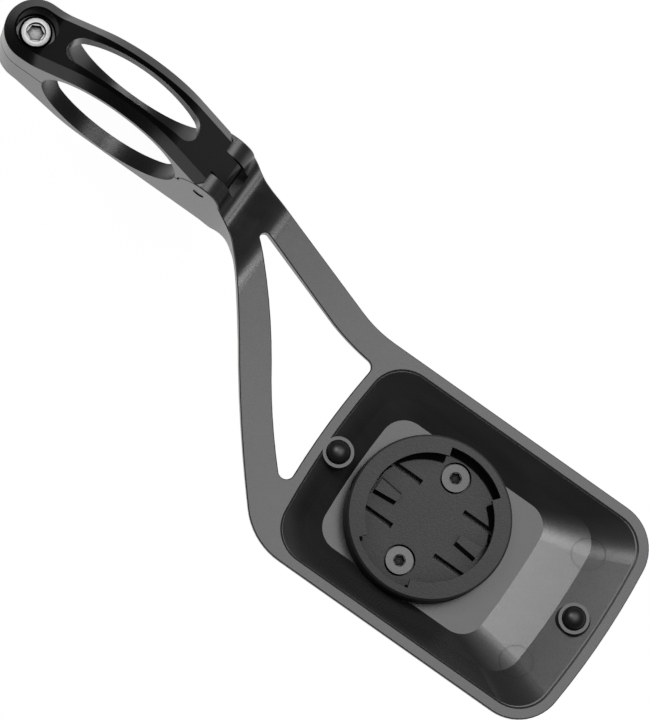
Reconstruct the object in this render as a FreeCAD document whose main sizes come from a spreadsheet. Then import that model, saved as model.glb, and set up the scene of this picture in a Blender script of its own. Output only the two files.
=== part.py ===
import FreeCAD, Part
import math
import os

import Sketcher

# A handlebar mount that carries a cycling computer out in front of the stem.
# Frame: origin on the handlebar's centre line, +X forward to the tray, +Y along the bar, +Z up.

# ---- driving dimensions (mm and degrees) ---------------------------------------------------
SIZES = {
    # clamp ring
    "bore_radius": 15.9,
    "clamp_half": 6.35,
    "split_gap": 0.4,
    "arch_radius": 19.1,
    "window_half_length": 15.3,
    "window_half_width": 3.5,
    "window_end_radius": 2.7,
    "lower_window_half_width": 2.9,
    "relief_radius": 16.1,
    "relief_margin": 0.15,
    "cap_chamfer": 1.9,
    "edge_chamfer": 0.2,
    # clamp bolt end
    "bolt_reach": 22.3,
    "boss_top": 8.6,
    "boss_bottom": 10.8,
    "lower_chamfer": 1.2,
    "counterbore_radius": 4.1,
    "counterbore_seat": 2.5,
    "bolt_hole_radius": 2.25,
    "washer_radius": 3.9,
    "washer_height": 0.5,
    "head_radius": 3.3,
    "head_edge": 0.5,
    "head_height": 2.6,
    "hex_across": 3.0,
    "hex_mouth_radius": 2.0,
    "hex_mouth_depth": 0.7,
    "hex_depth": 1.7,
    "shank_radius": 1.85,
    "shank_length": 8.0,
    "insert_radius": 3.2,
    "insert_hole_radius": 2.25,
    "insert_height": 6.5,
    "insert_sink": 0.3,
    # hinge
    "pin_reach": 21.6,
    "pin_radius": 1.25,
    "pin_half_length": 6.1,
    "pin_running_gap": 0.05,
    "ear_radius": 4.9,
    "ear_clearance": 5.2,
    "tongue_half": 2.5,
    "slot_half": 2.65,
    "slot_end": 27.65,
    "slot_floor": 7.0,
    "shoulder_reach": 21.3,
    # neck and legs
    "block_bottom": 18.4,
    "leg_top": 4.0,
    "leg_start": 39.5,
    "blend_radius": 7.0,
    "valley_radius": 3.0,
    "sweep_radius": 4.0,
    "flange_bottom": 1.8,
    # tray
    "tray_centre": 33.3,
    "tray_half": 24.3,
    "tray_rear": 68.1,
    "tray_front": 136.1,
    "end_radius": 160.0,
    "tray_corner": 9.5,
    "rim_width": 2.25,
    "shelf_inset": 6.4,
    "shelf_height": 0.3,
    "shelf_front": 125.5,
    "shelf_corner": 6.0,
    "floor_rear": 77.8,
    "floor_front": 115.8,
    "floor_half": 15.0,
    "floor_height": 2.1,
    "floor_corner": 5.0,
    "tub_bottom": 4.4,
    # bumper sockets
    "rear_bumper_x": 73.0,
    "front_bumper_x": 129.15,
    "socket_boss_radius": 3.1,
    "socket_radius": 2.45,
    "socket_depth": 1.8,
    "stem_radius": 1.5,
    "stem_depth": 4.0,
    "bumper_radius": 2.3,
    "bumper_crown": 1.5,
    # quarter-turn insert
    "puck_x": 94.9,
    "puck_radius": 16.35,
    "puck_top": 3.6,
    "puck_floor": 0.8,
    "puck_mouth": 12.8,
    "puck_channel": 14.6,
    "lip_height": 1.2,
    "seat_clearance": 0.1,
    "notch_centre": 78.5,
    "notch_span": 56.0,
    "screw_offset": 9.9,
    "screw_radius": 1.5,
    "screw_head_radius": 2.75,
    "screw_cone": 1.7,
    "screw_length": 6.6,
    "screw_socket_across": 2.0,
    "screw_socket_mouth": 1.25,
    "screw_recess_radius": 3.16,
    "screw_recess_depth": 0.6,
    "screw_boss_radius": 3.6,
    "screw_boss_bottom": 6.2,
    "finger_half": 5.25,
    "finger_slot": 1.2,
    "finger_root": 5.0,
    "finger_tip": 12.2,
    "finger_thickness": 1.4,
    "tooth_inner": 7.0,
    "tooth_outer": 11.9,
    "tooth_height": 1.3,
    "tooth_ramp": 0.9,
}

document = FreeCAD.newDocument("computer_mount")
sheet = document.addObject("Spreadsheet::Sheet", "sizes")
for row, (alias, number) in enumerate(SIZES.items(), start=1):
    sheet.set(f"A{row}", alias)
    sheet.set(f"B{row}", str(number))
    sheet.setAlias(f"B{row}", alias)
document.recompute()


class Size:
    """A number together with the sheet formula that drives it."""

    def __init__(self, value, formula):
        self.value = float(value)
        self.formula = formula

    def __add__(self, other):
        other = as_size(other)
        return Size(self.value + other.value, f"({self.formula} + {other.formula})")

    def __sub__(self, other):
        other = as_size(other)
        return Size(self.value - other.value, f"({self.formula} - {other.formula})")

    def __mul__(self, other):
        other = as_size(other)
        return Size(self.value * other.value, f"({self.formula} * {other.formula})")

    def __neg__(self):
        return Size(-self.value, f"(0 - {self.formula})")

    __radd__ = __add__
    __rmul__ = __mul__

    def __rsub__(self, other):
        return as_size(other) - self


def as_size(number):
    return number if isinstance(number, Size) else Size(number, f"({number})")


def cell(alias):
    return Size(sheet.get(alias), f"sizes.{alias}")


# ---- sketch and feature helpers -------------------------------------------------------------
def new_body(label):
    body = document.addObject("PartDesign::Body", label)
    body.Label = label
    return body


def new_sketch(body, name, role, offset=0):
    """A sketch on one of the body's own origin planes, moved along its normal by offset."""
    sketch = body.newObject("Sketcher::SketchObject", name)
    plane = [item for item in body.Origin.OriginFeatures if item.Role == role][0]
    sketch.AttachmentSupport = (plane, [""])
    sketch.MapMode = "FlatFace"
    offset = as_size(offset)
    sketch.AttachmentOffset = FreeCAD.Placement(FreeCAD.Vector(0, 0, offset.value), FreeCAD.Rotation())
    sketch.setExpression("AttachmentOffset.Base.z", offset.formula)
    return sketch


def bind(sketch, constraint, size):
    """Add a dimension and drive it from the sheet."""
    index = sketch.addConstraint(constraint)
    sketch.renameConstraint(index, f"size_{index}")
    sketch.setExpression(f"Constraints.size_{index}", size.formula)


def place_point(sketch, geometry, point, x, y):
    bind(sketch, Sketcher.Constraint("DistanceX", -1, 1, geometry, point, x.value), x)
    bind(sketch, Sketcher.Constraint("DistanceY", -1, 1, geometry, point, y.value), y)


def minor_arc(start, end, radius):
    """The short arc from start to end; it bulges right of the way it runs if radius > 0."""
    chord = end.sub(start)
    middle = (start + end) * 0.5
    reach = math.sqrt(max(radius * radius - chord.Length ** 2 / 4, 0.0))
    left = FreeCAD.Vector(-chord.y, chord.x, 0).normalize()
    centre = middle + left * math.copysign(reach, radius)
    circle = Part.Circle(centre, FreeCAD.Vector(0, 0, 1), abs(radius))
    first, last = (start, end) if radius > 0 else (end, start)
    angles = [math.atan2(point.y - centre.y, point.x - centre.x) for point in (first, last)]
    if angles[1] < angles[0]:
        angles[1] += 2 * math.pi
    return Part.ArcOfCircle(circle, angles[0], angles[1])


def draw_outline(sketch, corners):
    """A closed outline. A corner is (x, y), or (x, y, radius) if an arc runs to the next one."""
    corners = [tuple(as_size(value) for value in corner) for corner in corners]
    first = sketch.GeometryCount
    ends = []
    for index, corner in enumerate(corners):
        following = corners[(index + 1) % len(corners)]
        start = FreeCAD.Vector(corner[0].value, corner[1].value, 0)
        end = FreeCAD.Vector(following[0].value, following[1].value, 0)
        if len(corner) == 2:
            sketch.addGeometry(Part.LineSegment(start, end), False)
            ends.append((1, 2))
        else:
            sketch.addGeometry(minor_arc(start, end, corner[2].value), False)
            ends.append((1, 2) if corner[2].value > 0 else (2, 1))
    for index, corner in enumerate(corners):
        after = (index + 1) % len(corners)
        joint = Sketcher.Constraint(
            "Coincident", first + index, ends[index][1], first + after, ends[after][0])
        sketch.addConstraint(joint)
    for index, corner in enumerate(corners):
        place_point(sketch, first + index, ends[index][0], corner[0], corner[1])
        if len(corner) == 3:
            size = corner[2] if corner[2].value > 0 else -corner[2]
            bind(sketch, Sketcher.Constraint("Radius", first + index, size.value), size)


def draw_rectangle(sketch, left, right, bottom, top):
    draw_outline(sketch, [(left, bottom), (right, bottom), (right, top), (left, top)])


def draw_circle(sketch, x, y, radius):
    x, y, radius = as_size(x), as_size(y), as_size(radius)
    centre = FreeCAD.Vector(x.value, y.value, 0)
    index = sketch.addGeometry(Part.Circle(centre, FreeCAD.Vector(0, 0, 1), radius.value), False)
    place_point(sketch, index, 3, x, y)
    bind(sketch, Sketcher.Constraint("Radius", index, radius.value), radius)


def draw_tray(sketch, rear, front, half, corner):
    """A rounded rectangle whose two ends bow outwards, about the tray's centre line."""
    rear, front, half, corner = as_size(rear), as_size(front), as_size(half), as_size(corner)
    end_radius = cell("end_radius")
    middle = -cell("tray_centre")
    reach = math.sqrt(
        (end_radius.value - corner.value) ** 2 - (half.value - corner.value) ** 2)
    normal = FreeCAD.Vector(0, 0, 1)
    lean = math.asin((half.value - corner.value) / (end_radius.value - corner.value))

    def line(x_from, x_to, side):
        y = middle.value + side * half.value
        return Part.LineSegment(FreeCAD.Vector(x_from, y, 0), FreeCAD.Vector(x_to, y, 0))

    def arc(x, y, radius, start, end):
        circle = Part.Circle(FreeCAD.Vector(x, y, 0), normal, radius)
        return Part.ArcOfCircle(circle, start, end)

    front_centre = front.value - end_radius.value
    rear_centre = rear.value + end_radius.value
    front_corner = front_centre + reach
    rear_corner = rear_centre - reach
    low = middle.value - half.value + corner.value
    high = middle.value + half.value - corner.value
    quarter = math.pi / 2
    pieces = [
        line(rear_corner, front_corner, -1),
        arc(front_corner, low, corner.value, -quarter, -lean),
        arc(front_centre, middle.value, end_radius.value, -lean, lean),
        arc(front_corner, high, corner.value, lean, quarter),
        line(front_corner, rear_corner, 1),
        arc(rear_corner, high, corner.value, quarter, math.pi - lean),
        arc(rear_centre, middle.value, end_radius.value, math.pi - lean, math.pi + lean),
        arc(rear_corner, low, corner.value, math.pi + lean, 3 * quarter),
    ]
    for piece in pieces:
        sketch.addGeometry(piece, False)
    for index in range(8):
        sketch.addConstraint(Sketcher.Constraint("Tangent", index, 2, (index + 1) % 8, 1))
    for index in (1, 3, 5, 7):
        bind(sketch, Sketcher.Constraint("Radius", index, corner.value), corner)
    for index, centre in ((2, front - end_radius), (6, rear + end_radius)):
        bind(sketch, Sketcher.Constraint("Radius", index, end_radius.value), end_radius)
        place_point(sketch, index, 3, centre, middle)
    for index, side in ((0, middle - half), (4, middle + half)):
        sketch.addConstraint(Sketcher.Constraint("Horizontal", index))
        bind(sketch, Sketcher.Constraint("DistanceY", -1, 1, index, 1, side.value), side)


def extrude(body, kind, name, sketch, length, symmetric=False, upward=False):
    """Pad or pocket a sketch. A pocket runs against the sketch's normal unless upward is set."""
    feature = body.newObject(f"PartDesign::{kind}", name)
    feature.Profile = sketch
    length = as_size(length)
    feature.Length = length.value
    feature.setExpression("Length", length.formula)
    if symmetric:
        feature.SideType = "Symmetric"
    feature.Reversed = upward
    sketch.Visibility = False
    document.recompute()
    return feature


def pad(body, name, sketch, length, symmetric=False):
    return extrude(body, "Pad", name, sketch, length, symmetric)


def pocket(body, name, sketch, length, symmetric=False, upward=False):
    """A pocket that is sure to remove material."""
    before = body.Shape.Volume
    feature = extrude(body, "Pocket", name, sketch, length, symmetric, upward)
    if body.Shape.Volume > before - 1e-6:
        raise RuntimeError(f"{name} cuts nothing")
    return feature


def loft(body, kind, name, sections):
    feature = body.newObject(f"PartDesign::{kind}Loft", name)
    feature.Profile = sections[0]
    feature.Sections = sections[1:]
    feature.Ruled = True
    for sketch in sections:
        sketch.Visibility = False
    document.recompute()
    return feature


def turn(body, name, sketch, kind="Revolution"):
    """Revolve a sketch once round its own vertical axis."""
    feature = body.newObject(f"PartDesign::{kind}", name)
    feature.Profile = sketch
    feature.ReferenceAxis = (sketch, ["V_Axis"])
    feature.Angle = 360
    sketch.Visibility = False
    document.recompute()
    return feature


def dress(body, kind, name, size, chosen):
    """Fillet or chamfer every edge of the body so far that the chosen test accepts."""
    base = body.Tip
    edges = [f"Edge{number}" for number, edge in enumerate(base.Shape.Edges, 1) if chosen(edge)]
    feature = body.newObject(f"PartDesign::{kind}", name)
    feature.Base = (base, edges)
    dimension = "Radius" if kind == "Fillet" else "Size"
    setattr(feature, dimension, size.value)
    feature.setExpression(dimension, size.formula)
    document.recompute()
    if "Invalid" in feature.State or not edges:
        raise RuntimeError(f"{name} failed on {edges}")
    return feature


def upright_at(x, y, reach=0.6):
    """A test for the vertical edge nearest to one place in plan."""
    def chosen(edge):
        box = edge.BoundBox
        upright = box.XLength < 1e-3 and box.YLength < 1e-3
        return upright and math.hypot(box.XMin - x, box.YMin - y) < reach
    return chosen


def move(body, x, y, z):
    """Put a body that is drawn about its own axis in its place on the mount."""
    x, y, z = as_size(x), as_size(y), as_size(z)
    body.Placement = FreeCAD.Placement(FreeCAD.Vector(x.value, y.value, z.value), FreeCAD.Rotation())
    body.setExpression("Placement.Base.x", x.formula)
    body.setExpression("Placement.Base.y", y.formula)
    body.setExpression("Placement.Base.z", z.formula)


# ---- mount body -----------------------------------------------------------------------------
EVERYTHING = 200

# Corners of the legs in plan, and how far each is rounded.
UPPER_NECK = [(27.3, 6.35, 4.0), (35.4, 1.25, 42.0)]
UPPER_FOOT = (65.6, -9.0, 26.0)
LOWER_NECK = (29.1, -6.35, 11.0)
LOWER_WAIST = (47.6, -30.7)
LOWER_FOOT = (69.2, -57.6, 14.0)
OPENING_APEX = (33.4, -4.2, 0.95)
OPENING_LOW = (68.7, -46.6, 1.6)
OPENING_HIGH = (69.2, -15.1, 1.6)
OPENING_WAIST = (52.3, -26.2)
OPENING_BEND = (58.0, -12.95)
LEG_BOW = 300.0
OPENING_BOW = 130.0
FOOT_BOW = 50.0
FRONT_SAGITTA = 1.9

# The side view: how far round the ear the valley starts, the slopes of the saddle and the block.
EAR_LEAN = math.radians(80)
SADDLE_RISE = math.radians(42)
FLANK_FOOT = (-21.9, 6.0)
FLANK_TOE = (-8.74, 16.0)
BLOCK_HEEL = (27.2, 4.0)
SWEEP_X = 35.6
FLANGE_X = 66.0
FLANGE_EASE = 60.0


def plan_outline(sketch):
    """Clamp, neck, legs and tray seen from above. The lower leg is a slight S."""
    half, reach = cell("clamp_half"), -cell("bolt_reach")
    low = -cell("tray_centre") - cell("tray_half")
    high = cell("tray_half") - cell("tray_centre")
    corner_x = cell("tray_front") - FRONT_SAGITTA
    corners = [
        (reach, -half),
        (LOWER_NECK[0], -half, -LEG_BOW),
        (*LOWER_WAIST, LEG_BOW),
        (LOWER_FOOT[0], low),
        (corner_x, low, cell("end_radius")),
        (corner_x, high),
        (UPPER_FOOT[0], high),
        UPPER_NECK[1][:2],
        (UPPER_NECK[0][0], half),
        (reach, half, half),
        (reach - half, 0, half),
    ]
    draw_outline(sketch, corners)


def opening_outline(sketch):
    """The open triangle between the two legs and the back of the tray."""
    corners = [
        (*OPENING_APEX[:2], -OPENING_BOW),
        (*OPENING_WAIST, OPENING_BOW),
        (*OPENING_LOW[:2], -cell("end_radius")),
        (*OPENING_HIGH[:2], -FOOT_BOW),
        OPENING_BEND,
    ]
    draw_outline(sketch, corners)


def rounded(corners):
    """Outline corners with an exact tangent arc in place of each (x, y, radius) corner."""
    corners = [tuple(as_size(value) for value in corner) for corner in corners]
    points = [FreeCAD.Vector(corner[0].value, corner[1].value, 0) for corner in corners]
    outline = []
    for index, corner in enumerate(corners):
        if len(corner) == 2:
            outline.append(corner)
            continue
        arriving = points[index].sub(points[index - 1]).normalize()
        leaving = points[(index + 1) % len(points)].sub(points[index]).normalize()
        turning = math.atan2(arriving.cross(leaving).z, arriving.dot(leaving))
        x, y, radius = corner
        reach = radius * math.tan(abs(turning) / 2)
        start = (x - reach * arriving.x, y - reach * arriving.y)
        end = (x + reach * leaving.x, y + reach * leaving.y)
        outline += [(*start, radius if turning > 0 else -radius), end]
    return outline


def side_outline(sketch):
    """The same piece seen from the side: lower clamp half, hinge block, neck and legs."""
    gap = cell("split_gap") * 0.5
    boss, block, top = -cell("boss_bottom"), -cell("block_bottom"), cell("leg_top")
    pin, ear, valley = cell("pin_reach"), cell("ear_radius"), cell("valley_radius")
    blend, leg_start, flange = cell("blend_radius"), cell("leg_start"), cell("flange_bottom")
    tail = -cell("bolt_reach") - 10
    front = cell("tray_front") + 5
    underside = rounded([
        (tail, boss),
        (FLANK_FOOT[0], boss, FLANK_FOOT[1]),
        (FLANK_TOE[0], block, FLANK_TOE[1]),
        (BLOCK_HEEL[0], block, BLOCK_HEEL[1]),
        (SWEEP_X, 0.0, cell("sweep_radius")),
        (FLANGE_X, flange, FLANGE_EASE),
        (front, flange),
    ])
    ear_side, ear_up = math.sin(EAR_LEAN), math.cos(EAR_LEAN)
    valley_x, valley_z = pin + (ear + valley) * ear_side, (ear + valley) * ear_up
    rise_side, rise_up = math.sin(SADDLE_RISE), math.cos(SADDLE_RISE)
    topside = [
        (front, top),
        (leg_start, top, blend),
        (leg_start - blend * rise_side, top - blend * (1 - rise_up)),
        (valley_x + valley * rise_side, valley_z - valley * rise_up, -valley),
        (pin + ear * ear_side, ear * ear_up, ear),
        (pin, ear, ear),
        (pin - ear, 0),
        (pin - ear, -gap),
        (tail, -gap),
    ]
    draw_outline(sketch, underside + topside)


def make_mount_body():
    body = new_body("mount_body")
    lowest, highest = -30, 8
    plan = new_sketch(body, "plan", "XY_Plane", lowest)
    plan_outline(plan)
    pad(body, "plan_block", plan, highest - lowest)
    rounds = UPPER_NECK + [UPPER_FOOT, LOWER_NECK, LOWER_FOOT]
    for number, (x, y, radius) in enumerate(rounds):
        dress(body, "Fillet", f"plan_round_{number}", as_size(radius), upright_at(x, y))
    for number, side in enumerate((-1, 1)):
        x = cell("tray_front").value - FRONT_SAGITTA
        y = side * cell("tray_half").value - cell("tray_centre").value
        dress(body, "Fillet", f"tray_corner_{number}", cell("tray_corner"), upright_at(x, y))

    opening = new_sketch(body, "opening", "XY_Plane", highest)
    opening_outline(opening)
    pocket(body, "leg_opening", opening, EVERYTHING)
    for number, (x, y, radius) in enumerate((OPENING_APEX, OPENING_LOW, OPENING_HIGH)):
        dress(body, "Fillet", f"opening_round_{number}", as_size(radius), upright_at(x, y))

    side = new_sketch(body, "side", "XZ_Plane")
    side_outline(side)
    draw_rectangle(side, -60, EVERYTHING, -60, 60)
    pocket(body, "side_trim", side, EVERYTHING, symmetric=True)

    break_top_edges(body)
    break_lower_edges(body)
    shape_tray(body)
    shape_clamp_half(body)
    return body


def shape_tray(body):
    """The tub under the rim, its two-step pocket, the bumper sockets and the screw bosses."""
    rim, rear, front = cell("rim_width"), cell("tray_rear"), cell("tray_front")
    half, corner = cell("tray_half"), cell("tray_corner")
    shelf_half = half - cell("shelf_inset")
    wall, tub_inset = 2.2, 1.6
    under, under_tray = -cell("tub_bottom"), cell("flange_bottom")
    shelf, floor = cell("shelf_height"), -cell("floor_height")

    shoulder = new_sketch(body, "tub_shoulder", "XY_Plane", under_tray)
    draw_tray(shoulder, rear + tub_inset, front - tub_inset, half - tub_inset, corner - tub_inset)
    bottom = new_sketch(body, "tub_base", "XY_Plane", under)
    draw_tray(bottom, cell("floor_rear") - wall, cell("floor_front") + wall,
              cell("floor_half") + wall, cell("floor_corner") + 1)
    loft(body, "Additive", "tub", [shoulder, bottom])

    mouth = new_sketch(body, "pocket_mouth", "XY_Plane", cell("leg_top"))
    draw_tray(mouth, rear + rim, front - rim, half - rim, corner - rim)
    ledge = new_sketch(body, "pocket_ledge", "XY_Plane", shelf)
    draw_tray(ledge, rear + cell("shelf_inset"), cell("shelf_front"), shelf_half, cell("shelf_corner"))
    loft(body, "Subtractive", "upper_pocket", [mouth, ledge])
    bevel = cell("edge_chamfer")
    bevel_top = new_sketch(body, "bevel_top", "XY_Plane", cell("leg_top"))
    draw_tray(bevel_top, rear + rim - bevel, front - rim + bevel, half - rim + bevel,
              corner - rim + bevel)
    bevel_foot = new_sketch(body, "bevel_foot", "XY_Plane", cell("leg_top") - bevel)
    draw_tray(bevel_foot, rear + rim + bevel, front - rim - bevel, half - rim - bevel,
              corner - rim - bevel)
    loft(body, "Subtractive", "mouth_bevel", [bevel_top, bevel_foot])
    ledge_low = new_sketch(body, "floor_ledge", "XY_Plane", shelf)
    draw_tray(ledge_low, rear + cell("shelf_inset"), cell("shelf_front"), shelf_half,
              cell("shelf_corner"))
    deep = new_sketch(body, "floor", "XY_Plane", floor)
    draw_tray(deep, cell("floor_rear"), cell("floor_front"), cell("floor_half"), cell("floor_corner"))
    loft(body, "Subtractive", "lower_pocket", [ledge_low, deep])

    middle = -cell("tray_centre")
    seat = new_sketch(body, "insert_seat", "XY_Plane", shelf + 1)
    draw_circle(seat, cell("puck_x"), middle, cell("puck_radius") + cell("seat_clearance"))
    pocket(body, "insert_seat_cut", seat, shelf + 1 - floor)

    sockets = (cell("rear_bumper_x"), cell("front_bumper_x"))
    bosses = new_sketch(body, "socket_bosses", "XY_Plane", -1)
    for x in sockets:
        draw_circle(bosses, x, middle, cell("socket_boss_radius"))
    pad(body, "bumper_bosses", bosses, cell("leg_top") + 1)
    mouths = new_sketch(body, "socket_mouths", "XY_Plane", cell("leg_top"))
    stems = new_sketch(body, "socket_stems", "XY_Plane", cell("leg_top"))
    for x in sockets:
        draw_circle(mouths, x, middle, cell("socket_radius"))
        draw_circle(stems, x, middle, cell("stem_radius"))
    pocket(body, "bumper_sockets", mouths, cell("socket_depth"))
    pocket(body, "stem_sockets", stems, cell("stem_depth"))

    screws = new_sketch(body, "screw_circles", "XY_Plane", -cell("screw_boss_bottom"))
    threads = new_sketch(body, "thread_circles", "XY_Plane", 0)
    for side in (-1, 1):
        y = middle + side * cell("screw_offset")
        draw_circle(screws, cell("puck_x"), y, cell("screw_boss_radius"))
        draw_circle(threads, cell("puck_x"), y, cell("screw_radius"))
    pad(body, "screw_bosses", screws, cell("screw_boss_bottom") - 3)
    pocket(body, "screw_threads", threads, 20)


def shape_clamp_half(body):
    """Bore, underside window, hinge ears with their slot and pin hole, bush hole in the boss."""
    bore = new_sketch(body, "bore", "XZ_Plane")
    draw_circle(bore, 0, 0, cell("bore_radius"))
    pocket(body, "handlebar_bore", bore, EVERYTHING, symmetric=True)
    relieve_bore(body, cell("lower_window_half_width"))

    window = new_sketch(body, "window", "XY_Plane", 0)
    draw_window(window, cell("lower_window_half_width"))
    pocket(body, "lower_window", window, EVERYTHING)

    pin = cell("pin_reach")
    barrel = new_sketch(body, "tongue_room", "XZ_Plane")
    draw_circle(barrel, pin, 0, cell("ear_clearance"))
    pocket(body, "tongue_clearance", barrel, cell("slot_half") * 2, symmetric=True)
    slot = new_sketch(body, "slot", "XZ_Plane")
    draw_rectangle(slot, pin, cell("slot_end"), -cell("slot_floor"), 12)
    pocket(body, "hinge_slot", slot, cell("slot_half") * 2, symmetric=True)
    hole = new_sketch(body, "pin_circle", "XZ_Plane")
    draw_circle(hole, pin, 0, cell("pin_radius"))
    pocket(body, "pin_hole", hole, EVERYTHING, symmetric=True)

    bush = new_sketch(body, "bush_circle", "XY_Plane", 5)
    draw_circle(bush, -cell("bolt_reach"), 0, cell("insert_radius"))
    sink = cell("split_gap") * 0.5 + cell("insert_sink")
    pocket(body, "bush_hole", bush, sink + cell("insert_height") + 5)


def relieve_bore(body, half_width):
    """A shallow groove round the middle of the bore, so that only its two flanks grip the bar."""
    groove = new_sketch(body, "bore_relief", "XZ_Plane")
    draw_circle(groove, 0, 0, cell("relief_radius"))
    width = (half_width + cell("relief_margin")) * 2
    pocket(body, "bore_relief_cut", groove, width, symmetric=True)


def draw_window(sketch, half_width):
    """A long window through a clamp half, with round ends and slightly bowed sides."""
    end = cell("window_end_radius")
    tip = cell("window_half_length")
    reach = tip - end
    bow = half_width.value - end.value
    side_radius = (reach.value ** 2 + bow ** 2) / (2 * bow)
    corners = [
        (-reach, -end, side_radius),
        (reach, -end, end),
        (tip, 0, end),
        (reach, end, side_radius),
        (-reach, end, end),
        (-tip, 0, end),
    ]
    draw_outline(sketch, corners)


def break_top_edges(body):
    """A small chamfer on the outer edges of the flat top of the legs and rim."""
    top = cell("leg_top").value
    sharp_from = cell("leg_start").value - 0.5

    def on_top(edge):
        box = edge.BoundBox
        flat = abs(box.ZMin - top) < 0.05 and abs(box.ZMax - top) < 0.05
        return flat and box.XMax > sharp_from
    dress(body, "Chamfer", "rim_chamfer", cell("edge_chamfer"), on_top)


def break_lower_edges(body):
    """A wide chamfer round the underside of the clamp half, the hinge block and the rim."""
    flange = cell("flange_bottom").value
    rim_from = cell("tray_rear").value - 2.3

    def underneath(edge):
        box = edge.BoundBox
        block = box.XLength > 0.1 and box.ZMax < -9
        rim = box.XMin > rim_from and abs(box.ZMin - flange) < 0.05 and box.ZLength < 0.05
        return block or rim
    dress(body, "Chamfer", "lower_chamfer", cell("lower_chamfer"), underneath)


# ---- clamp cap ------------------------------------------------------------------------------
# Slopes of the cap's two flanks: down to the bolt's boss, and down to the hinge.
CAP_FLANK = math.radians(38)
CAP_SLOPE = math.radians(43)


def cap_outline(sketch):
    """The cap from the side: flat bolt boss, flank, round arch and the slope to the hinge.

    The flank and the slope are tangents of the arch, and a cove joins the flank to the boss.
    """
    radius, top, tip = cell("arch_radius"), cell("boss_top"), cell("shoulder_reach")
    gap = cell("split_gap") * 0.5
    cove = 4.0
    cove_run = cove * math.tan(CAP_FLANK / 2)
    flank_x, flank_z = -radius * math.sin(CAP_FLANK), radius * math.cos(CAP_FLANK)
    foot_x = flank_x - (flank_z - top) * (1 / math.tan(CAP_FLANK))
    slope_x, slope_z = radius * math.sin(CAP_SLOPE), radius * math.cos(CAP_SLOPE)
    corners = [
        (-cell("bolt_reach") - 10, gap),
        (tip, gap),
        (tip, slope_z - (tip - slope_x) * math.tan(CAP_SLOPE)),
        (slope_x, slope_z, radius),
        (flank_x, flank_z),
        (foot_x + cove_run * math.cos(CAP_FLANK), top + cove_run * math.sin(CAP_FLANK), -cove),
        (foot_x - cove_run, top),
        (-cell("bolt_reach") - 10, top),
    ]
    draw_outline(sketch, corners)


def cap_plan(sketch):
    """The cap from above: a round bolt end and straight sides up to the hinge."""
    half, reach, tip = cell("clamp_half"), cell("bolt_reach"), cell("shoulder_reach") + 1
    corners = [
        (-reach, -half),
        (tip, -half),
        (tip, half),
        (-reach, half, half),
        (-reach - half, 0, half),
    ]
    draw_outline(sketch, corners)


def add_tongue(body):
    """The hinge tongue: a barrel round the pin that the slope of the cap runs into as a tangent."""
    pin, gap = cell("pin_reach"), cell("split_gap") * 0.5
    across, up = math.sin(CAP_SLOPE), math.cos(CAP_SLOPE)
    radius = cell("arch_radius") - pin * across
    tongue = new_sketch(body, "tongue", "XZ_Plane")
    draw_circle(tongue, pin, 0, radius)
    pad(body, "tongue_barrel", tongue, cell("tongue_half") * 2, symmetric=True)
    root = cell("shoulder_reach") - 3
    root_z = (cell("arch_radius") - root * across) * (1 / up)
    web = new_sketch(body, "tongue_web", "XZ_Plane")
    draw_outline(web, [
        (cell("bore_radius") - 0.5, gap),
        (pin, gap),
        (pin + radius * across, radius * up),
        (root, root_z),
        (cell("bore_radius") - 0.5, root_z - 3),
    ])
    pad(body, "tongue_web_block", web, cell("tongue_half") * 2, symmetric=True)


def make_clamp_cap():
    body = new_body("clamp_cap")
    side = new_sketch(body, "cap_side", "XZ_Plane")
    cap_outline(side)
    pad(body, "cap_block", side, cell("clamp_half") * 2 + 4, symmetric=True)
    plan = new_sketch(body, "cap_plan", "XY_Plane", 40)
    cap_plan(plan)
    draw_rectangle(plan, -60, 60, -30, 30)
    pocket(body, "cap_trim", plan, 80)

    top = cell("boss_top").value - 0.1

    def top_edge(edge):
        box = edge.BoundBox
        return box.XLength > 0.1 and box.YMax ** 2 > 1 and box.ZMin > 5.0 and box.ZMax > top
    dress(body, "Chamfer", "cap_top_chamfer", cell("cap_chamfer"), top_edge)

    window = new_sketch(body, "cap_window", "XY_Plane", 40)
    draw_window(window, cell("window_half_width"))
    pocket(body, "cap_window_cut", window, 60)

    pin = cell("pin_reach")
    clearance = new_sketch(body, "ear_room", "XZ_Plane")
    draw_circle(clearance, pin, 0, cell("ear_clearance"))
    pocket(body, "ear_room_cut", clearance, EVERYTHING, symmetric=True)
    add_tongue(body)
    bore = new_sketch(body, "cap_bore", "XZ_Plane")
    draw_circle(bore, 0, 0, cell("bore_radius"))
    pocket(body, "cap_bore_cut", bore, EVERYTHING, symmetric=True)
    relieve_bore(body, cell("window_half_width"))
    hole = new_sketch(body, "cap_pin_circle", "XZ_Plane")
    draw_circle(hole, pin, 0, cell("pin_radius") + cell("pin_running_gap"))
    pocket(body, "cap_pin_hole", hole, EVERYTHING, symmetric=True)

    seat = new_sketch(body, "counterbore", "XY_Plane", 40)
    draw_circle(seat, -cell("bolt_reach"), 0, cell("counterbore_radius"))
    pocket(body, "counterbore_cut", seat, 40 - cell("counterbore_seat"))
    shank = new_sketch(body, "shank_circle", "XY_Plane", 40)
    draw_circle(shank, -cell("bolt_reach"), 0, cell("bolt_hole_radius"))
    pocket(body, "shank_hole", shank, 60)
    return body


# ---- turned pieces --------------------------------------------------------------------------
def make_turned(label, profile, x, y, z):
    """A piece of revolution: profile holds radius and height corners from the axis outwards."""
    body = new_body(label)
    sketch = new_sketch(body, f"{label}_profile", "XZ_Plane")
    draw_outline(sketch, profile)
    turn(body, f"{label}_turned", sketch)
    move(body, x, y, z)
    return body


def draw_hexagon(sketch, across):
    corner = across * (0.5 / math.cos(math.radians(30)))
    corners = []
    for number in range(6):
        angle = math.radians(60 * number + 30)
        corners.append((corner * math.cos(angle), corner * math.sin(angle)))
    draw_outline(sketch, corners)


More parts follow.
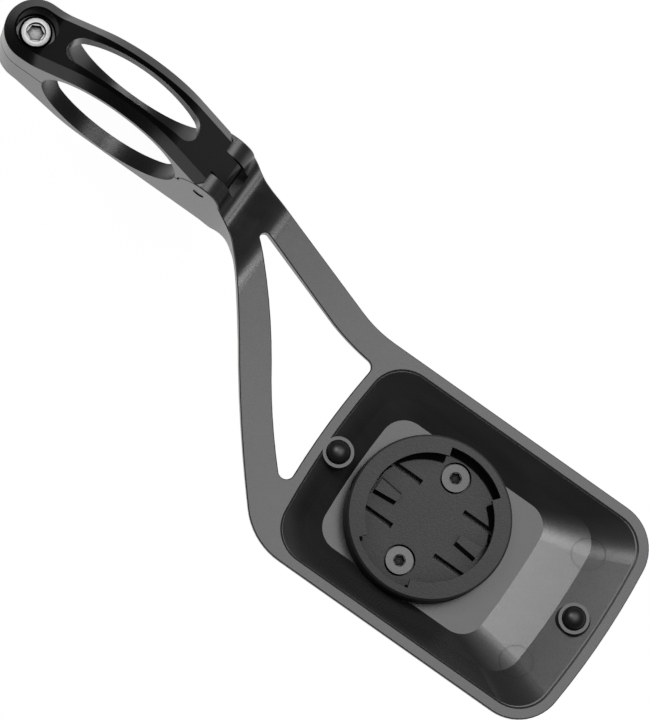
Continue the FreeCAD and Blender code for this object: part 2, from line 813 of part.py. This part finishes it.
def make_hinge_pin():
    """A plain dowel along the bar direction, broken at both ends."""
    body = new_body("hinge_pin")
    circle = new_sketch(body, "pin_end", "XZ_Plane")
    draw_circle(circle, cell("pin_reach"), 0, cell("pin_radius"))
    pad(body, "pin_bar", circle, cell("pin_half_length") * 2, symmetric=True)
    dress(body, "Chamfer", "pin_ends", as_size(0.2), lambda edge: edge.BoundBox.YLength < 1e-3)
    return body


def make_bolt_washer():
    inner, outer, height = cell("bolt_hole_radius"), cell("washer_radius"), cell("washer_height")
    profile = [(inner, 0), (outer, 0), (outer, height), (inner, height)]
    return make_turned("bolt_washer", profile, -cell("bolt_reach"), 0, cell("counterbore_seat"))


def make_clamp_bolt():
    """A low-head socket screw; its thread is drawn as a plain shank."""
    shank, length = cell("shank_radius"), cell("shank_length")
    head, height, edge = cell("head_radius"), cell("head_height"), cell("head_edge")
    tip = 0.5
    profile = [
        (0, -length),
        (shank - tip, -length),
        (shank, tip - length),
        (shank, 0),
        (head, 0),
        (head, height - edge, edge),
        (head - edge, height),
        (0, height),
    ]
    seat = cell("counterbore_seat") + cell("washer_height")
    body = make_turned("clamp_bolt", profile, -cell("bolt_reach"), 0, seat)
    socket = new_sketch(body, "hex", "XY_Plane", height)
    draw_hexagon(socket, cell("hex_across"))
    pocket(body, "hex_socket", socket, cell("hex_depth"))
    mouth = new_sketch(body, "hex_mouth", "XY_Plane", height)
    draw_circle(mouth, 0, 0, cell("hex_mouth_radius"))
    pocket(body, "socket_mouth", mouth, cell("hex_mouth_depth"))
    return body


def make_thread_bush():
    """A steel bush pressed into the lower clamp half; it carries the bolt's thread."""
    inner, outer, height = cell("insert_hole_radius"), cell("insert_radius"), cell("insert_height")
    lead = 0.3
    profile = [(inner, 0), (outer, 0), (outer, height), (inner + lead, height), (inner, height - lead)]
    base = -cell("split_gap") * 0.5 - cell("insert_sink") - height
    return make_turned("thread_bush", profile, -cell("bolt_reach"), 0, base)


def make_bumper(label, x):
    """A rubber button: a stem pressed in its socket under a low dome."""
    stem, head, crown = cell("stem_radius"), cell("bumper_radius"), cell("bumper_crown")
    grip = cell("stem_depth") - cell("socket_depth")
    rim = cell("socket_depth") + 0.4
    dome = (cell("bumper_radius").value ** 2 + cell("bumper_crown").value ** 2)
    dome_radius = dome / (2 * cell("bumper_crown").value)
    profile = [
        (0, -grip),
        (stem, -grip),
        (stem, 0),
        (head, 0),
        (head, rim, dome_radius),
        (0, rim + crown),
    ]
    seat = cell("leg_top") - cell("socket_depth")
    return make_turned(label, profile, x, -cell("tray_centre"), seat)


# ---- quarter-turn insert --------------------------------------------------------------------
def sector_outline(sketch, radius, start, span):
    """A pie slice from the centre, span degrees wide."""
    radius = as_size(radius)
    first, last = math.radians(start), math.radians(start + span)
    corners = [
        (0, 0),
        (radius * math.cos(first), radius * math.sin(first), radius),
        (radius * math.cos(last), radius * math.sin(last)),
    ]
    draw_outline(sketch, corners)


def make_quarter_turn_insert():
    """A moulded disc: a lipped ring round a floor with two sprung fingers, each with a tooth."""
    radius, top, floor = cell("puck_radius"), cell("puck_top"), cell("puck_floor")
    mouth, channel, lip = cell("puck_mouth"), cell("puck_channel"), cell("lip_height")
    base = -cell("floor_height")
    edge = 0.4
    body = new_body("quarter_turn_insert")
    profile = new_sketch(body, "ring_profile", "XZ_Plane")
    draw_outline(profile, [
        (0, base),
        (radius - edge, base),
        (radius, base + edge),
        (radius, top - edge),
        (radius - edge, top),
        (mouth, top),
        (mouth, top - lip),
        (channel, top - lip),
        (channel, floor),
        (0, floor),
    ])
    turn(body, "ring", profile)
    for side in (0, 180):
        notch = new_sketch(body, f"notch_{side}", "XY_Plane", top)
        start = SIZES["notch_centre"] - SIZES["notch_span"] / 2 + side
        sector_outline(notch, channel, start, SIZES["notch_span"])
        pocket(body, f"lug_notch_{side}", notch, top - floor)

    half, width = cell("finger_half"), cell("finger_slot")
    root, tip = cell("finger_root"), cell("finger_tip")
    inner, outer, rise = cell("tooth_inner"), cell("tooth_outer"), cell("tooth_height")
    ramp = cell("tooth_ramp")
    for side in (-1, 1):
        label = "rear" if side < 0 else "front"
        slots = new_sketch(body, f"{label}_slots", "XY_Plane", floor)
        for edge_side in (-1, 1):
            low = half * edge_side - width * 0.5
            draw_rectangle(slots, *sorted_span(root * side, channel * side), low, low + width)
        pocket(body, f"{label}_finger_slots", slots, floor - base)
        gap = new_sketch(body, f"{label}_gap", "XY_Plane", floor)
        draw_rectangle(gap, *sorted_span(tip * side, (channel - 0.3) * side), -half, half)
        pocket(body, f"{label}_tip_gap", gap, floor - base)
        relief = new_sketch(body, f"{label}_relief", "XY_Plane", base)
        draw_rectangle(relief, *sorted_span((root + 1) * side, channel * side), -half, half)
        pocket(body, f"{label}_finger_relief", relief, floor - base - cell("finger_thickness"),
               upward=True)
        wide = new_sketch(body, f"{label}_tooth_foot", "XY_Plane", floor - 0.5)
        narrow = new_sketch(body, f"{label}_tooth_crest", "XY_Plane", floor + rise)
        for sketch, spread in ((wide, ramp), (narrow, 0)):
            draw_outline(sketch, [
                (inner * side, 0.95 * side),
                (outer * side, 1.4 * side),
                (outer * side, (-1.1 - spread) * side),
                (inner * side, (-0.6 - spread) * side),
            ])
        loft(body, "Additive", f"{label}_tooth", [wide, narrow])

    bolts = new_sketch(body, "screw_ways", "XY_Plane", floor)
    recesses = new_sketch(body, "screw_recesses", "XY_Plane", top)
    for side in (-1, 1):
        draw_circle(bolts, 0, cell("screw_offset") * side, cell("screw_radius") + 0.1)
        draw_circle(recesses, 0, cell("screw_offset") * side, cell("screw_recess_radius"))
    pocket(body, "screw_holes", bolts, 20)
    depth = cell("screw_recess_depth")
    pocket(body, "screw_recess_cuts", recesses, top - floor + depth)
    for side in (-1, 1):
        y = cell("screw_offset") * side
        cone = new_sketch(body, f"cone_{side + 1}", "XY_Plane", floor - depth)
        draw_circle(cone, 0, y, screw_cone_radius(depth) + 0.02)
        tip_circle = new_sketch(body, f"cone_tip_{side + 1}", "XY_Plane", floor - cell("screw_cone"))
        draw_circle(tip_circle, 0, y, cell("screw_radius") + 0.02)
        loft(body, "Subtractive", f"countersink_{side + 1}", [cone, tip_circle])
    move(body, cell("puck_x"), -cell("tray_centre"), 0)
    return body


SCREW_HEAD_EDGE = 0.15


def screw_cone_radius(depth):
    """The radius of the screw head's cone at a depth under its flat top."""
    head, shank, cone = cell("screw_head_radius"), cell("screw_radius"), cell("screw_cone")
    share = (depth.value - SCREW_HEAD_EDGE) / (cone.value - SCREW_HEAD_EDGE)
    return head - (head - shank) * share


def sorted_span(first, second):
    return (first, second) if first.value < second.value else (second, first)


def make_insert_screws():
    """Two equal countersunk screws, kept together as one group of separate solids."""
    shank, head, cone = cell("screw_radius"), cell("screw_head_radius"), cell("screw_cone")
    profile = [
        (0, -cell("screw_length")),
        (shank, -cell("screw_length")),
        (shank, -cone),
        (head, -SCREW_HEAD_EDGE),
        (head, 0),
        (0, 0),
    ]
    body = make_turned("insert_screw", profile, 0, 0, 0)
    socket = new_sketch(body, "socket_hexagon", "XY_Plane", 0)
    draw_hexagon(socket, cell("screw_socket_across"))
    pocket(body, "driver_socket", socket, 1.1)
    mouth = new_sketch(body, "socket_mouth_circle", "XY_Plane", 0)
    draw_circle(mouth, 0, 0, cell("screw_socket_mouth"))
    pocket(body, "driver_socket_mouth", mouth, 0.2)
    pair = document.addObject("Part::Feature", "insert_screws")
    pair.Label = "insert_screws"
    screws = []
    for side in (-1, 1):
        screw = body.Shape.copy()
        screw.translate(FreeCAD.Vector(0, side * sheet.get("screw_offset"), 0))
        screws.append(screw)
    pair.Shape = Part.makeCompound(screws)
    move(pair, cell("puck_x"), -cell("tray_centre"), cell("puck_floor"))
    return pair


# ---- build, check and write -----------------------------------------------------------------
parts = [
    make_mount_body(),
    make_clamp_cap(),
    make_hinge_pin(),
    make_bolt_washer(),
    make_clamp_bolt(),
    make_thread_bush(),
    make_quarter_turn_insert(),
    make_insert_screws(),
    make_bumper("rear_bumper", cell("rear_bumper_x")),
    make_bumper("front_bumper", cell("front_bumper_x")),
]
document.recompute()
for item in document.Objects:
    if "Invalid" in item.State or "Error" in item.State:
        raise RuntimeError(f"{item.Label} did not build: {item.State}")
os.makedirs("parts", exist_ok=True)
for part in parts:
    if part.Shape.isNull() or not part.Shape.isValid():
        raise RuntimeError(f"{part.Label} has no valid shape")
    part.Shape.exportStep(f"parts/{part.Label}.step")
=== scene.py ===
import math

import bmesh
import bpy
from mathutils import Matrix, Vector


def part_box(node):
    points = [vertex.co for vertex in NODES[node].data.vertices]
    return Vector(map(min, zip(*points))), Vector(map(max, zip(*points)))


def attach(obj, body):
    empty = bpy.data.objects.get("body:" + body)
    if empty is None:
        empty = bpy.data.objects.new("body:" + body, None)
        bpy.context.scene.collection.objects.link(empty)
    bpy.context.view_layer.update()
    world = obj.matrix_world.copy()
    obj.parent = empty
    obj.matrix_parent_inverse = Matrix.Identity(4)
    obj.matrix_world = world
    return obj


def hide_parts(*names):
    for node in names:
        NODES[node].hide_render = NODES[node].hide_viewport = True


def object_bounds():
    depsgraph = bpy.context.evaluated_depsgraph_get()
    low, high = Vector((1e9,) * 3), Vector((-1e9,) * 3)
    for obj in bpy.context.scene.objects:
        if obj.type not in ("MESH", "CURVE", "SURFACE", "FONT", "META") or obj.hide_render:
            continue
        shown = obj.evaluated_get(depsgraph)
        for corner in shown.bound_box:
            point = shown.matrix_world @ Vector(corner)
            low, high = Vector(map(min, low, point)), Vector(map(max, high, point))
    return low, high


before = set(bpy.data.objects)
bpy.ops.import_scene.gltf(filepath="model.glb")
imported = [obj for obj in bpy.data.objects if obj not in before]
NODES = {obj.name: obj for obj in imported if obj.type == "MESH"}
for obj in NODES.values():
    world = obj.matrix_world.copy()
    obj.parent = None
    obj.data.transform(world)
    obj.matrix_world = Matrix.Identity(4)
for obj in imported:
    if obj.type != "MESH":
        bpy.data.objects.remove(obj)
cad_low, cad_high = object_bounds()

MM = 0.001

# The metal pieces that only the bolt's own soft box lights.
BOLT_NODES = ["clamp_bolt", "bolt_washer", "thread_bush", "hinge_pin"]

# ---- viewpoint, in the part's frame (metres); the lens and sensor are in mm ------------------
CAMERA_PLACE = (0.038969, -0.219003, 0.873189)
CAMERA_VIEW = (0.02417, 0.22320, -0.97447)
CAMERA_RIGHT = (0.81648, 0.55807, 0.14807)
CAMERA_LENS = 228.85
SENSOR = 36.0


# ---- node helpers ---------------------------------------------------------------------------
class Tree:
    """A material's or world's node tree, with short calls to add and join nodes."""

    def __init__(self, owner):
        owner.use_nodes = True
        self.tree = owner.node_tree
        self.tree.nodes.clear()

    def add(self, kind, **settings):
        node = self.tree.nodes.new(kind)
        for key, value in settings.items():
            if key in node.inputs:
                self.feed(node.inputs[key], value)
            elif hasattr(node, key):
                setattr(node, key, value)
            else:
                raise KeyError(f"{kind} has no {key}")
        return node

    def feed(self, socket, value):
        if isinstance(value, bpy.types.NodeSocket):
            self.tree.links.new(value, socket)
        else:
            socket.default_value = value

    def math(self, operation, first, second=0.0):
        node = self.tree.nodes.new("ShaderNodeMath")
        node.operation = operation
        self.feed(node.inputs[0], first)
        self.feed(node.inputs[1], second)
        return node.outputs[0]

    def mix(self, factor, first, second):
        node = self.tree.nodes.new("ShaderNodeMix")
        node.data_type = "RGBA"
        self.feed(node.inputs["Factor"], factor)
        self.feed(node.inputs["A"], first)
        self.feed(node.inputs["B"], second)
        return node.outputs["Result"]

    def ramp(self, value, low, high, out_low=0.0, out_high=1.0):
        node = self.add("ShaderNodeMapRange", **{
            "Value": value, "From Min": low, "From Max": high, "To Min": out_low, "To Max": out_high})
        return node.outputs["Result"]

    def noise(self, place, scale, detail, roughness=0.5):
        node = self.add("ShaderNodeTexNoise", Vector=place, Scale=scale, Detail=detail,
                        Roughness=roughness)
        return node.outputs["Fac"]


def grey(value, warm=0.0):
    return (value * (1 + warm), value, value * (1 - warm), 1.0)


def ring_mark(tree, place, centre, radius, width):
    """One where a point lies on a thin upright ring, falling to zero at the width either side."""
    offset = tree.add("ShaderNodeVectorMath", operation="SUBTRACT")
    tree.feed(offset.inputs[0], place)
    tree.feed(offset.inputs[1], centre)
    flat = tree.add("ShaderNodeVectorMath", operation="MULTIPLY")
    tree.feed(flat.inputs[0], offset.outputs["Vector"])
    tree.feed(flat.inputs[1], (1.0, 1.0, 0.0))
    length = tree.add("ShaderNodeVectorMath", operation="LENGTH")
    tree.feed(length.inputs[0], flat.outputs["Vector"])
    away = tree.math("ABSOLUTE", tree.math("SUBTRACT", length.outputs["Value"], radius))
    return tree.ramp(away, width, 0.0)


# How every finish varies. CLOUD_SCALE, the slow mottling, is in cycles per metre, and
# SPECK_FINER is how many times finer the specks are than the grain.
CLOUD_SCALE = 90.0
SPECK_FINER = 2.7
ROUGHNESS_SPREAD = 0.08
EDGE_BEVEL_RADIUS = 0.25 * MM
EDGE_LIGHT_GREY = 0.16
# The near-black painted into sheltered recesses as shade.
RECESS_SHADE_GREY = 0.003
OPEN_AIR = 0.95
RING_DIMMING = 0.55


def lightened_edges(tree, base, cloud, edge_lightening):
    """Lighten the sharp edges of a base colour, in patches that follow the slow mottling."""
    bevel = tree.add("ShaderNodeBevel", Radius=EDGE_BEVEL_RADIUS, samples=4)
    shown = tree.add("ShaderNodeNewGeometry").outputs["Normal"]
    dot = tree.add("ShaderNodeVectorMath", operation="DOT_PRODUCT")
    tree.feed(dot.inputs[0], bevel.outputs["Normal"])
    tree.feed(dot.inputs[1], shown)
    edge = tree.ramp(dot.outputs["Value"], 0.97, 0.85)
    edge = tree.math("MULTIPLY", edge, tree.ramp(cloud, 0.35, 0.7, 0.2, 1.0))
    return tree.mix(tree.math("MULTIPLY", edge, edge_lightening), base, grey(EDGE_LIGHT_GREY))


def painted_recess_shade(tree, base, recess_shade, reach, deep):
    """Paint shade into a base colour: darken it where the surface is sheltered by walls nearer than
    reach, in mm, standing in for the shadow in sockets, slots and under lips.
    """
    shelter = tree.add("ShaderNodeAmbientOcclusion", Distance=reach * MM, samples=6)
    open_share = tree.ramp(shelter.outputs["AO"], deep, OPEN_AIR)
    hidden = tree.math("MULTIPLY", tree.math("SUBTRACT", 1.0, open_share), recess_shade)
    return tree.mix(hidden, base, grey(RECESS_SHADE_GREY))


def dimmed_rings(tree, place, level, rings):
    """Lower the gloss level on a thin ring round each centre."""
    for centre in rings:
        mark = ring_mark(tree, place, centre, WITNESS_RADIUS, WITNESS_WIDTH)
        dimmed = tree.math("MULTIPLY", mark, RING_DIMMING)
        level = tree.math("MULTIPLY", level, tree.math("SUBTRACT", 1.0, dimmed))
    return level


def finish_material(name, colour, roughness, *, grain, grain_depth, mottle, metallic=0.0,
                    level=0.5, streak=None, edge_lightening=0.0, recess_shade=0.0, reach=0.0, deep=0.0, rings=()):
    """One finish: a base colour with slow mottling, and fine grain in its roughness and bump.

    grain is in cycles per metre, grain_depth is the bump's height in mm, and streak stretches
    the mottling along one axis. The edge-lightening share lightens sharp edges. The recess-shade
    share paints shade into recesses narrower than reach in mm, fully so where less than the share
    deep is open. rings are the centres of faint round machining marks.
    """
    material = bpy.data.materials.new(name)
    tree = Tree(material)
    place = tree.add("ShaderNodeTexCoord").outputs["Object"]
    slow = place
    if streak is not None:
        slow = tree.add("ShaderNodeMapping", Vector=place, Scale=streak).outputs["Vector"]
    cloud = tree.noise(slow, CLOUD_SCALE, 4.0)
    fine = tree.noise(place, grain, 2.0, 0.6)
    speck = tree.noise(place, grain * SPECK_FINER, 1.0)
    dark = tuple(channel * (1 - mottle) for channel in colour[:3]) + (1.0,)
    light = tuple(channel * (1 + mottle) for channel in colour[:3]) + (1.0,)
    base = tree.mix(tree.ramp(cloud, 0.3, 0.7), dark, light)
    base = tree.mix(tree.ramp(fine, 0.35, 0.65, 0.0, 0.5), base, dark)
    varied = tree.math("MULTIPLY", fine, ROUGHNESS_SPREAD)
    rough = tree.math("ADD", roughness - ROUGHNESS_SPREAD / 2, varied)
    if edge_lightening > 0:
        base = lightened_edges(tree, base, cloud, edge_lightening)
    # Painted shade: darken the colour in sheltered recesses, standing in for the shadows in sockets,
    # slots and under lips.
    if recess_shade > 0:
        base = painted_recess_shade(tree, base, recess_shade, reach, deep)
    height = tree.math("ADD", tree.math("MULTIPLY", fine, 0.7), tree.math("MULTIPLY", speck, 0.3))
    bump = tree.add("ShaderNodeBump", Height=height, Distance=grain_depth * MM, Strength=1.0)
    shader = tree.add("ShaderNodeBsdfPrincipled", **{
        "Base Color": base, "Roughness": rough, "Metallic": metallic,
        "Specular IOR Level": dimmed_rings(tree, place, level, rings),
        "Normal": bump.outputs["Normal"]})
    output = tree.add("ShaderNodeOutputMaterial")
    tree.feed(output.inputs["Surface"], shader.outputs["BSDF"])
    return material


def paint(node, material):
    """Give a carried-over node its material in every slot."""
    piece = NODES[node]
    piece.data.materials.clear()
    piece.data.materials.append(material)
    for polygon in piece.data.polygons:
        polygon.material_index = 0


# Two faint round machining marks on the tray's front slope, one each side of its middle line.
WITNESS_RADIUS = 3.2 * MM
WITNESS_WIDTH = 0.2 * MM
WITNESS_X = 0.1248
WITNESS_SPREAD = 0.0129
TRAY_MIDDLE = -0.0333


def witness_centre(side):
    """The centre of one mark in the mount body's own coordinates."""
    place = Vector((WITNESS_X, TRAY_MIDDLE + side * WITNESS_SPREAD, 0.0))
    return tuple(NODES["mount_body"].matrix_world.inverted() @ place)


WITNESSES = [witness_centre(-1), witness_centre(1)]

anodised = finish_material("anodised", grey(0.020, 0.02), 0.28, level=0.5, grain=4200.0,
                           grain_depth=0.009, mottle=0.15, streak=(1.0, 4.0, 1.0),
                           rings=WITNESSES)
anodised_cap = finish_material("anodised_cap", grey(0.005, 0.02), 0.24, level=0.42, grain=4200.0,
                               grain_depth=0.004, mottle=0.15, edge_lightening=0.15)
# The insert, bolt and screws get painted shade in their recesses.
moulded = finish_material("moulded", grey(0.040), 0.55, level=0.4, grain=3200.0,
                          grain_depth=0.08, mottle=0.10, recess_shade=0.9, reach=5.0, deep=0.3)
bright_steel = finish_material("bright_steel", grey(0.80), 0.22, metallic=1.0, grain=2500.0,
                               grain_depth=0.002, mottle=0.04, recess_shade=0.97, reach=4.0, deep=0.5)
grey_steel = finish_material("grey_steel", grey(0.07), 0.42, metallic=1.0, grain=2500.0,
                             grain_depth=0.003, mottle=0.08, recess_shade=0.98, reach=2.5, deep=0.6)
dark_steel = finish_material("dark_steel", grey(0.22), 0.35, metallic=1.0, grain=2500.0,
                             grain_depth=0.003, mottle=0.08)
rubber = finish_material("rubber", grey(0.006), 0.38, level=0.4, grain=1800.0,
                         grain_depth=0.004, mottle=0.10)

paint("mount_body", anodised)
paint("clamp_cap", anodised_cap)
paint("hinge_pin", dark_steel)
paint("bolt_washer", dark_steel)
paint("clamp_bolt", bright_steel)
paint("thread_bush", dark_steel)
paint("quarter_turn_insert", moulded)
paint("insert_screws", grey_steel)


# ---- rubber bumpers -------------------------------------------------------------------------
def lathe(name, profile, centre, segments=48):
    """A closed piece of revolution about a vertical axis through centre; profile is (radius, z)."""
    mesh = bpy.data.meshes.new(name)
    shape = bmesh.new()
    rings = []
    for radius, height in profile:
        if radius < 1e-9:
            rings.append([shape.verts.new((centre[0], centre[1], height))])
            continue
        ring = []
        for step in range(segments):
            angle = 2 * math.pi * step / segments
            x = centre[0] + radius * math.cos(angle)
            y = centre[1] + radius * math.sin(angle)
            ring.append(shape.verts.new((x, y, height)))
        rings.append(ring)
    for lower, upper in zip(rings, rings[1:]):
        for step in range(segments):
            after = (step + 1) % segments
            corners = [lower[step % len(lower)], lower[after % len(lower)],
                       upper[after % len(upper)], upper[step % len(upper)]]
            unique = list(dict.fromkeys(corners))
            shape.faces.new(unique)
    bmesh.ops.recalc_face_normals(shape, faces=shape.faces)
    shape.to_mesh(mesh)
    shape.free()
    mesh.shade_smooth()
    piece = bpy.data.objects.new(name, mesh)
    bpy.context.scene.collection.objects.link(piece)
    return piece


BUMPER_STEM = 1.5 * MM
BUMPER_SEAT_DEPTH = 3.7 * MM
BUMPER_CROWN = 1.5 * MM
STEM_BREAK = 0.15 * MM
HEAD_BREAK = 0.2 * MM
DOME_STEPS = 12


def make_bumper(node):
    """A domed rubber button: stem, a soft shoulder and a crown."""
    low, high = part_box(node)
    centre = ((low.x + high.x) / 2, (low.y + high.y) / 2)
    head = (high.x - low.x) / 2
    seat = high.z - BUMPER_SEAT_DEPTH
    shoulder = high.z - BUMPER_CROWN
    profile = [
        (0.0, low.z),
        (BUMPER_STEM - STEM_BREAK, low.z),
        (BUMPER_STEM, low.z + STEM_BREAK),
        (BUMPER_STEM, seat),
        (head - HEAD_BREAK, seat),
        (head, seat + HEAD_BREAK),
        (head, shoulder),
    ]
    for step in range(1, DOME_STEPS):
        angle = math.pi / 2 * step / DOME_STEPS
        profile.append((head * math.cos(angle), shoulder + BUMPER_CROWN * math.sin(angle)))
    profile.append((0.0, high.z))
    piece = lathe(f"{node}_rubber", profile, centre)
    piece.data.materials.append(rubber)
    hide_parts(node)
    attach(piece, "mount")
    return piece


bumpers = [make_bumper("rear_bumper"), make_bumper("front_bumper")]

# ---- floor, world, lights and camera --------------------------------------------------------
WHITE = (1.0, 1.0, 1.0, 1.0)
FLOOR_HALF = 3.0
FLOOR_GAP = 0.2 * MM
FLOOR_GLOW = 0.95
FLOOR_GREYS = (0.80, 0.84)


def make_floor():
    """A plain pale floor under the lowest point, bright enough to read as a white sweep."""
    mesh = bpy.data.meshes.new("floor")
    z = cad_low[2] - FLOOR_GAP
    signs = [(-1, -1), (1, -1), (1, 1), (-1, 1)]
    corners = [(across * FLOOR_HALF, along * FLOOR_HALF, z) for across, along in signs]
    mesh.from_pydata(corners, [], [(0, 1, 2, 3)])
    floor = bpy.data.objects.new("floor", mesh)
    bpy.context.scene.collection.objects.link(floor)
    material = bpy.data.materials.new("pale_floor")
    tree = Tree(material)
    place = tree.add("ShaderNodeTexCoord").outputs["Object"]
    cloud = tree.noise(place, 4.0, 2.0)
    tint = tree.mix(cloud, grey(FLOOR_GREYS[0]), grey(FLOOR_GREYS[1]))
    diffuse = tree.add("ShaderNodeBsdfDiffuse", Color=tint)
    glow = tree.add("ShaderNodeEmission", Color=WHITE, Strength=FLOOR_GLOW)
    both = tree.add("ShaderNodeAddShader")
    tree.feed(both.inputs[0], diffuse.outputs[0])
    tree.feed(both.inputs[1], glow.outputs[0])
    output = tree.add("ShaderNodeOutputMaterial")
    tree.feed(output.inputs["Surface"], both.outputs[0])
    mesh.materials.append(material)


# The world's greys: behind the part, in reflections of the sky, and in those of the horizon.
BACKDROP = 0.97
SKY = 0.06
HORIZON = 1.0

# The glow along the horizon: gone at the top, full at the foot, and only on the far side.
GLOW_TOP = 0.25
GLOW_FOOT = -0.02
GLOW_FAR = 0.5


def make_world():
    """Pale to the camera, dark overhead in reflections, bright along the far horizon."""
    world = bpy.data.worlds.new("studio")
    bpy.context.scene.world = world
    tree = Tree(world)
    direction = tree.add("ShaderNodeNewGeometry").outputs["Incoming"]
    split = tree.add("ShaderNodeSeparateXYZ", Vector=direction)
    rise = tree.math("MULTIPLY", split.outputs["Z"], -1.0)
    ahead = tree.math("MULTIPLY", split.outputs["Y"], -1.0)
    low = tree.ramp(rise, GLOW_TOP, GLOW_FOOT)
    far = tree.ramp(ahead, 0.0, GLOW_FAR)
    glow = tree.math("MULTIPLY", low, far)
    seen = tree.add("ShaderNodeLightPath").outputs["Is Camera Ray"]
    reflected = tree.mix(glow, grey(SKY), grey(HORIZON))
    shown = tree.mix(seen, reflected, grey(BACKDROP))
    background = tree.add("ShaderNodeBackground", Color=shown, Strength=1.0)
    output = tree.add("ShaderNodeOutputWorld")
    tree.feed(output.inputs["Surface"], background.outputs[0])


def area_light(name, place, aim, size, power, receivers):
    """A rectangular soft box that lights only its receivers."""
    data = bpy.data.lights.new(name, "AREA")
    data.shape = "RECTANGLE"
    data.size, data.size_y = size
    data.energy = power
    light = bpy.data.objects.new(name, data)
    light.location = place
    direction = Vector(aim) - Vector(place)
    if direction.xy.length > 1e-6:
        light.rotation_euler = direction.to_track_quat("-Z", "Y").to_euler()
    bpy.context.scene.collection.objects.link(light)
    group = bpy.data.collections.new(f"lit_by_{name}")
    for piece in receivers:
        group.objects.link(piece)
    light.light_linking.receiver_collection = group


def soft_box_power(radiance, size):
    """Blender's watts for a one-sided area light of a given radiance."""
    return radiance * math.pi * size[0] * size[1]


def soft_box_overhead(name, centre, height, size, radiance, receivers):
    """A soft box that points straight down, given by how bright it looks."""
    place = (*centre, height)
    power = soft_box_power(radiance, size)
    area_light(name, place, (*centre, 0.0), size, power, receivers)


def make_lights():
    """Two boxes over the tray, a small lamp for the insert's crisp shadows, and the bolt's box."""
    tray_pieces = [NODES["mount_body"], NODES["insert_screws"]] + bumpers
    soft_box_overhead("tray_box", (0.145, 0.055), 0.40, (0.22, 0.30), 4.4, tray_pieces)
    soft_box_overhead("front_band", (-0.09, 0.016), 0.39, (0.14, 0.092), 23.0, tray_pieces)
    area_light("insert_lamp", (0.10, 0.16, 0.38), (0.095, -0.033, 0.0), (0.03, 0.03), 1.25,
               [NODES["quarter_turn_insert"]])
    size = (0.3, 0.3)
    area_light("bolt_box", (-0.05, 0.12, 0.40), (-0.022, 0.0, 0.0), size,
               soft_box_power(2.0, size), [NODES[name] for name in BOLT_NODES])


def make_camera():
    """The perspective camera, placed at the constants above and made the scene's own."""
    data = bpy.data.cameras.new("photo_camera")
    data.sensor_width = SENSOR
    data.lens = CAMERA_LENS
    data.clip_start = 0.01
    camera = bpy.data.objects.new("photo_camera", data)
    forward = Vector(CAMERA_VIEW).normalized()
    right = Vector(CAMERA_RIGHT)
    right = (right - forward * right.dot(forward)).normalized()
    up = right.cross(forward)
    turn = Matrix((right, up, -forward)).transposed().to_4x4()
    camera.matrix_world = Matrix.Translation(CAMERA_PLACE) @ turn
    bpy.context.scene.collection.objects.link(camera)
    bpy.context.scene.camera = camera


make_floor()
make_world()
make_lights()
make_camera()
bpy.context.scene.view_settings.view_transform = "Standard"
